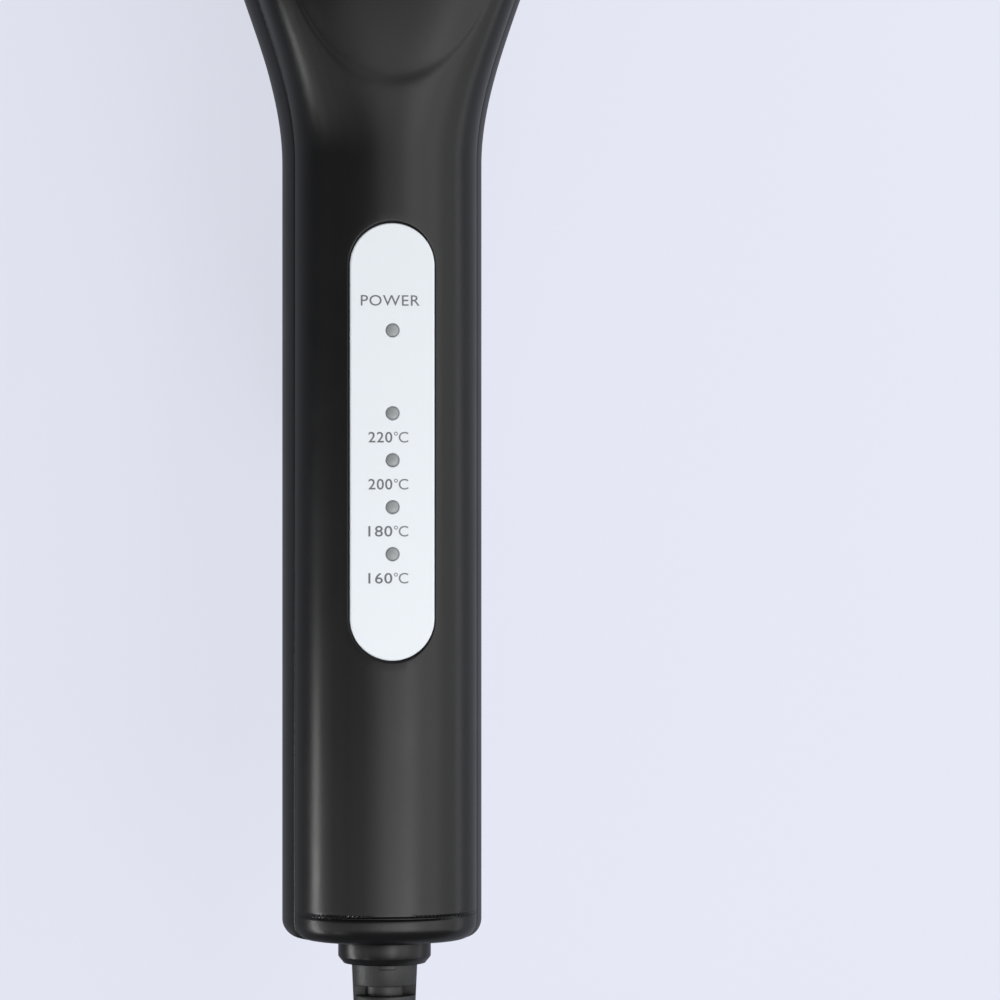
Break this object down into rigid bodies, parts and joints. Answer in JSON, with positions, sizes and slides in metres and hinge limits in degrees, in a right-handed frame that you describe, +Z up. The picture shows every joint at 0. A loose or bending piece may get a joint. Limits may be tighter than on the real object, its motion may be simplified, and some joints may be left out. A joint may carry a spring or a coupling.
{
  "type": "hair straightener",
  "caption": "Lever-operated hair straightener: handle with temperature panel and push button, wide heated plates, rocker jaw, swivel, coiled cord with plug",
  "frame": {"origin": "middle of the box round the object without its cord, on the floor under it", "axes": "+X across the handle, to the right seen from the cord end; +Y from the cord end towards the head; +Z up. The object lies on its lever's end and its rear jaw with the indicator panel up, so its own long axis dips by 11.4 degrees towards the head"},
  "size_m": [0.0976, 0.53, 0.1037],
  "materials": {
    "shell": "black satin moulding",
    "frame_plastic": "black heat-proof moulding",
    "panel": "silver-white lacquer",
    "lens": "smoky clear",
    "led": "clear epoxy",
    "board": "solder mask",
    "steel": "zinc plated",
    "bezel": "bright plated",
    "paper": "white film, bare",
    "plate": "coated, satin",
    "ceramic": "white ceramic in film",
    "fuse": "plain",
    "brass": "plain",
    "lead_sleeve": "woven glass sleeve",
    "cord_rubber": "black satin",
    "pin_metal": "nickel plated"
  },
  "bodies": {
    "handle": {"front_shell": "shell", "back_shell": "shell", "indicator_panel": "panel", "indicator_lenses": "lens", "indicator_leds": "led", "control_board": "board", "board_screws": "steel", "tact_switch": "frame_plastic", "button_bezel": "bezel", "inspection_sticker": "paper", "rating_label": "paper", "handle_screws": "steel", "front_plate": "plate", "front_plate_frame": "frame_plastic", "front_frame_screws": "steel", "front_heater": "ceramic", "front_heater_clip": "steel", "thermal_fuse": "fuse", "hinge_pin": "steel", "hinge_spring": "steel", "contact_brushes": "brass", "mains_leads": "lead_sleeve", "front_heater_leads": "lead_sleeve", "rear_heater_leads": "lead_sleeve", "cord_lead": "cord_rubber", "cord_coil": "cord_rubber", "cord_tail": "cord_rubber", "cord_tie": "cord_rubber", "plug_body": "cord_rubber", "plug_pins": "pin_metal"},
    "rocker": {"lever_and_jaw_cover": "shell", "rear_plate_frame": "frame_plastic", "rear_frame_screws": "steel", "rear_plate_springs": "steel"},
    "floating_plate": {"rear_plate": "plate", "rear_heater": "ceramic", "rear_heater_clip": "steel", "temperature_sensor": "fuse"},
    "button": {"push_button": "shell"},
    "swivel": {"swivel_collar": "shell", "slip_rings": "brass", "strain_relief": "cord_rubber"}
  },
  "joints": [
    {"name": "jaw_hinge", "type": "hinge", "parent": "handle", "child": "rocker", "pos_m": [0, 0.04456, 0.0445], "axis": [-1, 0, 0], "range_deg": [0, 25], "stiffness_Nm_per_rad": 1.6, "springref_deg": -17.19, "deforming": ["hinge_spring", "rear_heater_leads"]},
    {"name": "plate_float", "type": "slide", "parent": "rocker", "child": "floating_plate", "axis": [0, -0.1979, -0.9802], "range_m": [0, 0.0008], "stiffness_N_per_m": 3000, "springref_m": -0.0008, "deforming": ["rear_plate_springs"]},
    {"name": "button_press", "type": "slide", "parent": "handle", "child": "button", "axis": [0, 0.1979, 0.9802], "range_m": [0, 0.0008], "stiffness_N_per_m": 2000, "springref_m": -0.0004},
    {"name": "cord_swivel", "type": "hinge", "parent": "handle", "child": "swivel", "pos_m": [0, -0.1353, 0.08846], "axis": [0, 0.9802, -0.1979], "continuous": true}
  ]
}
